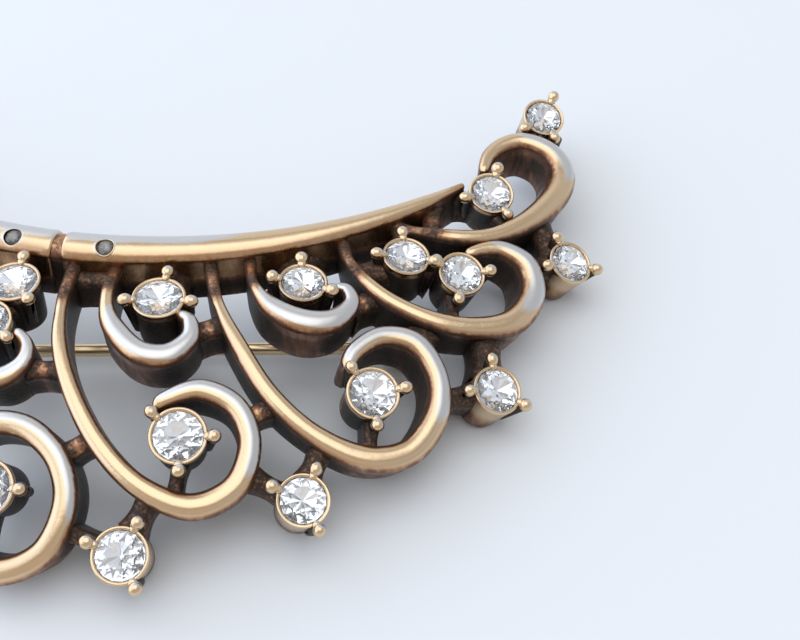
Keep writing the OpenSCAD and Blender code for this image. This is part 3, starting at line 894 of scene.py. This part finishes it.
stone_cut = stone_pattern()
print("stone:", len(stone_cut.data.polygons), "facets")

# %% [markdown]
# ## Glass and foil
# The clear stones are leaded glass with bright silver foil behind, and the two small ones have
# lost their shine, so their glass is grey and their foil dull. Glass bends light by one number,
# its index of refraction, and needs no picture.

# %% Clear glass, grey glass and foil
def glass(name, colour):
    return new_material(name, {"Base Color": colour, "Roughness": 0.0, "IOR": 1.58,
                               "Transmission Weight": 1.0})[0]


def foil(name, colour, roughness, metallic=1.0):
    return new_material(name, {"Base Color": colour, "Metallic": metallic,
                               "Roughness": roughness})[0]


clear_glass = glass("cut_clear_glass", (0.98, 0.99, 1.0))
grey_glass = glass("cut_grey_glass", (0.85, 0.86, 0.86))
silver_foil = foil("silver_foil", (0.93, 0.96, 1.0), 0.05, 0.82)
dull_foil = foil("dull_foil", (0.34, 0.33, 0.32), 0.35)

# %% [markdown]
# ## Fill the settings
# Hand-made beads are never quite alike, so each is scaled a little by chance, with a fixed
# seed, and each stone has its own turn in its cup, as a setter drops it in.

# %% Put cups, prongs and stones on their points
chance = random.Random(11)
cup_spots, bead_spots, stone_spots = [], [], []
for name, x, y, rim_d, lean, prongs in CUPS:
    place, axes = Vector((x, y, rise(x, y))), seat_axes(x, y, lean)
    wide = rim_d / PATTERN_D
    cup_spots.append((place, axes, (wide, wide, 1)))
    stone_r = rim_d / 2 - RIM_WALL - STONE_GAP
    above = axes @ Vector((0, 0, RIM_RISE - STONE_SUNK))
    stone_spots.append((place + above, axes, (stone_r,) * 3))
    for angle in prongs:
        turn = Matrix.Rotation(math.radians(angle), 3, "Z")
        out = turn @ Vector((rim_d / 2 + BEAD_OUT, 0, 0))
        squash = [chance.uniform(*BEAD_SPREAD) for _ in range(3)]
        bead_spots.append((place + axes @ out, axes @ turn, squash))

cups = points_object("cups", cup_spots)
beads = points_object("beads", bead_spots)
stones = points_object("clear_stones", stone_spots)
plain_mesh(cups, ON_POINTS, Pattern=cup_pattern, Material=plate)
# The outer cups are handled most, so their walls are cleaner
OUTER_REACH = 2.2 * MM
outer = [placed(spot[0]).xy for spot, cup in zip(cup_spots, CUPS) if cup[0].startswith("edge")]
for vertex in cups.data.vertices:
    if min((vertex.co.xy - middle).length for middle in outer) < OUTER_REACH:
        cups.data.attributes["dirt"].data[vertex.index].value = CLEAN
plain_mesh(beads, ON_POINTS, Pattern=bead_pattern, Material=plate)
plain_mesh(stones, ON_POINTS, sharp=1, Pattern=stone_cut, Spin=math.tau, Seed=7,
           Material=clear_glass, **{"Second material": silver_foil})

# %% [markdown]
# ## Two small stones in the spine
# On each side of the spine's groove a small grey stone lies flush in a drilled hole, on the
# slope that faces the barbs. The holes are cut with a Boolean, whose cutter carries the
# attributes for the dark wall inside.

# %% Drill the spine and set the small stones
CHIP_ANGLES = (-13.9, -3.5)
CHIP_R, CHIP_SUNK = 0.5, 0.17
# Angle round the section from its top to a small stone, and the lean of that stone
CHIP_TURN, CHIP_LEAN = math.radians(31), math.radians(26)


def on_slope(angle, height=0.0):
    """Place and axes on the slope of the spine that faces the barbs."""
    x, y, width = spine_point(angle)[:3]
    axes = seat_axes(x, y) @ Matrix.Rotation(math.radians(angle), 3, "Z")
    out = Vector((0, -math.sin(CHIP_TURN) * width / 2, math.cos(CHIP_TURN) * CROWN_SHARE * width))
    lean = axes @ Matrix.Rotation(CHIP_LEAN, 3, "X")
    return Vector((x, y, rise(x, y))) + axes @ out + lean @ Vector((0, 0, height)), lean


# Radius, height and depth of the rings of the cutter
DRILL = [(0, -0.6, 1), (0.56, -0.6, 1), (0.56, -0.12, 0.8), (0.56, 0.6, 0), (0, 0.6, 0)]
drill_pattern = lathe("drill_pattern", DRILL, 32)
drill = points_object("drill", [(*on_slope(a), (1, 1, 1)) for a in CHIP_ANGLES])
plain_mesh(drill, ON_POINTS, Pattern=drill_pattern, Material=plate)
cut = spine.modifiers.new("holes", "BOOLEAN")
cut.operation = "DIFFERENCE"
cut.object = drill
cut.solver = "EXACT"
drilled = worked_out(spine)
spine.modifiers.remove(cut)
spine.data = drilled
drilled.set_sharp_from_angle(angle=math.radians(SHARP))
print("spine after drilling:", len(drilled.polygons), "faces")

chips = points_object("grey_chips", [
    (*on_slope(a, -CHIP_SUNK), (CHIP_R,) * 3) for a in CHIP_ANGLES])
plain_mesh(chips, ON_POINTS, sharp=1, Pattern=stone_cut, Spin=math.tau, Seed=3,
           Material=grey_glass, **{"Second material": dull_foil})

# Radius and height of the points round the section of the raised rim
COLLAR = [(0.53, -0.06), (0.53, 0.01), (0.555, 0.035), (0.59, 0.035), (0.615, 0.01),
          (0.64, -0.06)]
COLLAR_BEND, COLLAR_STEPS = 0.16, 36


def collar():
    """Thin raised rim round the right one of the two."""
    shell = bmesh.new()
    place, axes = on_slope(CHIP_ANGLES[1])
    rings = []
    for k in range(COLLAR_STEPS):
        turn = Matrix.Rotation(math.tau * k / COLLAR_STEPS, 3, "Z")
        bend = COLLAR_BEND * turn.col[0].y ** 2
        rings.append([shell.verts.new(placed(place + axes @ (turn @ Vector((r, 0, z - bend)))))
                      for r, z in COLLAR])
    for one, two in zip(rings, rings[1:] + rings[:1]):
        for j in range(len(COLLAR)):
            n = (j + 1) % len(COLLAR)
            shell.faces.new((one[j], one[n], two[n], two[j]))
    obj = plated(new_object("collar", shell), 0.0, COLLAR_WEAR_SHEEN_LIMIT)
    obj.data.shade_smooth()
    return obj


chip_collar = collar()

# %% [markdown]
# ## Pin, hinge and catch
# These come straight from the solid model. Its meshes are loose triangles, so a copy of each
# is merged and shaded smooth, which gives the round wire its soft highlight. The pin rides
# on its own body, and swings on the hinge.

# %% Smooth copies of the findings
wire_metal = foil("soft_gold_wire", (0.76, 0.59, 0.36), 0.28)


def smooth_copy(node, material):
    shell = bmesh.new()
    shell.from_mesh(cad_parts[node].data)
    bmesh.ops.remove_doubles(shell, verts=shell.verts, dist=0.002 * MM)
    obj = plated(new_object(node + "_smooth", shell), 0.0, KEPT, material)
    obj.data.shade_smooth()
    obj.data.set_sharp_from_angle(angle=math.radians(30))
    print(obj.name, len(obj.data.polygons), "faces")
    return obj


pin = smooth_copy("pin_stem", wire_metal)
hinge = smooth_copy("hinge", plate)
catch = smooth_copy("catch", plate)


# %% Pads over the findings
# x, y and height of the pad's underside, and its size along X and Y
PADS = [(-14.9, -0.75, 4.45, 0.8, 2.6), (14.7, -0.75, 2.53, 1.4, 1.0)]
PAD_THICK = 0.8


def pads():
    """Plain blocks under two barbs, on which the hinge and the catch sit."""
    shell = bmesh.new()
    for x, y, low, long, wide in PADS:
        bmesh.ops.create_cube(shell, size=1, matrix=at(
            x, y, low + PAD_THICK / 2, (long * MM, wide * MM, PAD_THICK * MM)))
    return plated(new_object("pads", shell), 0.5, KEPT)


finding_pads = pads()

# %% [markdown]
# ## Where no cloth reaches, and where shade falls
# Antique lacquer survives where the polishing cloth can't go, and the same corners lie in shade.
# To find those places, sixteen rays leave each point of the metal, spread over the side that it
# faces. A ray that soon meets metal again means occlusion. The share of such rays is kept as
# an attribute, and the plating darkens the occluded corners with it: painted shade that belongs
# to the brooch and stays where it is from every side.

# %% Measure the occlusion for the painted shade
REACH = 3.0 * MM
# A ray starts this far off its own face
OFF_FACE = 0.03 * MM
RAYS, WIDEST = 16, 0.98
GOLDEN_ANGLE = 2.39996


def ray_fan():
    """Directions over a half sphere, close together towards its pole."""
    fan = []
    for k in range(RAYS):
        out = math.sqrt((k + 0.5) / RAYS) * WIDEST
        a = k * GOLDEN_ANGLE
        fan.append(Vector((out * math.cos(a), out * math.sin(a), math.sqrt(1 - out * out))))
    return fan


def measure_shelter(pieces):
    points, faces = [], []
    for obj in pieces:
        first = len(points)
        points += [v.co.copy() for v in obj.data.vertices]
        faces += [[first + k for k in face.vertices] for face in obj.data.polygons]
    metal = BVHTree.FromPolygons(points, faces)
    fan = ray_fan()
    for obj in pieces:
        found = []
        for vertex in obj.data.vertices:
            turn = Vector((0, 0, 1)).rotation_difference(vertex.normal)
            start = vertex.co + vertex.normal * OFF_FACE
            met = 0
            for ray in fan:
                near = metal.ray_cast(start, turn @ ray, REACH)[3]
                if near is not None:
                    # Metal at full reach occludes half as much as metal close by
                    met += 1 - 0.5 * near / REACH
            found.append(met / RAYS)
        give(obj.data, shelter=found)
        print(obj.name, "shelter", round(sum(found) / len(found), 2))


METAL_PIECES = [scrolls, hooks, spine, bridges, cups, beads, chip_collar, finding_pads]
measure_shelter(METAL_PIECES + [hinge, catch])

# %% [markdown]
# ## Put the pieces on the bodies
# Each piece is told which body carries it and which solids it stands for. The patterns have
# done their work and are removed.

# %% Ride, replace and clean up
for piece in METAL_PIECES:
    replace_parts(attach(piece, "brooch"), "casting")
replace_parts(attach(hinge, "brooch"), "hinge")
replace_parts(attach(catch, "brooch"), "catch")
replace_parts(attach(pin, "pin"), "pin_stem")
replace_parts(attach(stones, "brooch"), *["stone_" + cup[0] for cup in CUPS])
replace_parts(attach(chips, "brooch"), "chip_0", "chip_1")
for pattern in (section, cup_pattern, bead_pattern, stone_cut, drill_pattern, drill):
    bpy.data.objects.remove(pattern)

# %% [markdown]
# ## Table, light and camera
# The brooch lies on a pale table in soft, slightly blue window light. A polished half-round
# shows whatever stands round it, so the room matters as much as the metal. A broad window at
# the left draws the cream highlights, a lamp overhead the thin light line on the tops, and a
# dark strip round the room, just below the ceiling, the thin dark line beside it.

# %% Table
bpy.ops.mesh.primitive_plane_add(size=1.6)
table = bpy.context.active_object
table.name = "table"
table.data.materials.append(new_material("pale_table", {
    "Base Color": (0.72, 0.77, 0.82), "Roughness": 0.6, "Specular IOR Level": 0.2})[0])
table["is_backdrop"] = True


# %% Light
def panel(name, place, size, power, colour=(1, 1, 1)):
    """Rectangular light that looks at the brooch."""
    data = bpy.data.lights.new(name, "AREA")
    data.shape = "RECTANGLE"
    data.size, data.size_y = size
    data.energy = power
    data.color = colour
    obj = linked(name, data)
    obj.location = place
    obj.rotation_euler = (-Vector(place)).to_track_quat("-Z", "Y").to_euler()


panel("window", (-0.478, 0.084, 0.258), (1.2, 0.7), 3.0, (0.84, 0.97, 1.22))
panel("lamp_above", (0.0, -0.04, 0.6), (0.62, 0.62), 1.35)

world = bpy.data.worlds.new("room")
scene = bpy.context.scene
scene.world = world
world.use_nodes = True
tree = world.node_tree
toward = wire(tree, "ShaderNodeTexCoord").outputs["Generated"]
right, back, high = wire(tree, "ShaderNodeSeparateXYZ", {0: toward}).outputs
# The room is brown at the near side; each further part lies over the ones before it
room = (0.52, 0.46, 0.41)
far_side = fade(tree, back, -0.7, 0.3)
right_wall = fade(tree, right, 0.05, 0.75, 0.0, 0.75)
ceiling = fade(tree, high, 0.78, 0.82)
strip = times(tree, fade(tree, high, 0.66, 0.70), fade(tree, high, 0.80, 0.76))
for share, colour in ((far_side, (0.72, 0.74, 0.78)), (right_wall, (0.46, 0.48, 0.51)),
                      (ceiling, (0.66, 0.65, 0.64)), (strip, (0.30, 0.26, 0.23))):
    room = mixed(tree, share, room, colour)
feed(tree, tree.nodes["Background"], {"Color": room, "Strength": 1.15})
scene.view_settings.view_transform = "Standard"
scene.view_settings.gamma = 1.12

# %% [markdown]
# ## Camera
# The view is a close one: 80 mm away and 52 degrees above the table. The camera looks at a
# point between the middle and the tip, so that the quill runs out of the frame on the left.

# %% Place the camera
AIM = Vector((15.46, -0.38, 0.79))
ELEVATION = math.radians(51.7)
DISTANCE = 80
FOCAL_PIXELS = 1268
FRAME_WIDTH = 800

ahead = Vector((0, math.cos(ELEVATION), -math.sin(ELEVATION)))
eye = AIM - DISTANCE * ahead
upright = ahead.to_track_quat("-Z", "Y").to_matrix()
camera_data = bpy.data.cameras.new("camera")
camera_data.sensor_width = 36
camera_data.lens = FOCAL_PIXELS / FRAME_WIDTH * camera_data.sensor_width
camera_data.clip_start = 0.005
camera = linked("camera", camera_data)
camera.matrix_world = Matrix.Translation(placed(eye)) @ (SETTLE @ upright).to_4x4()
scene.camera = camera
print("camera at, mm:", [round(c / MM, 1) for c in camera.location])

# %% [markdown]
# ## Sizes at the end
# The dressed brooch has to keep the size of the solid model; both boxes are printed.

# %% Write the sizes and finish
seen_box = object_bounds()
for name, box in (("solid", cad_box), ("dressed", seen_box)):
    print(name, "box, mm:", [[round(c / MM, 2) for c in corner] for corner in box])
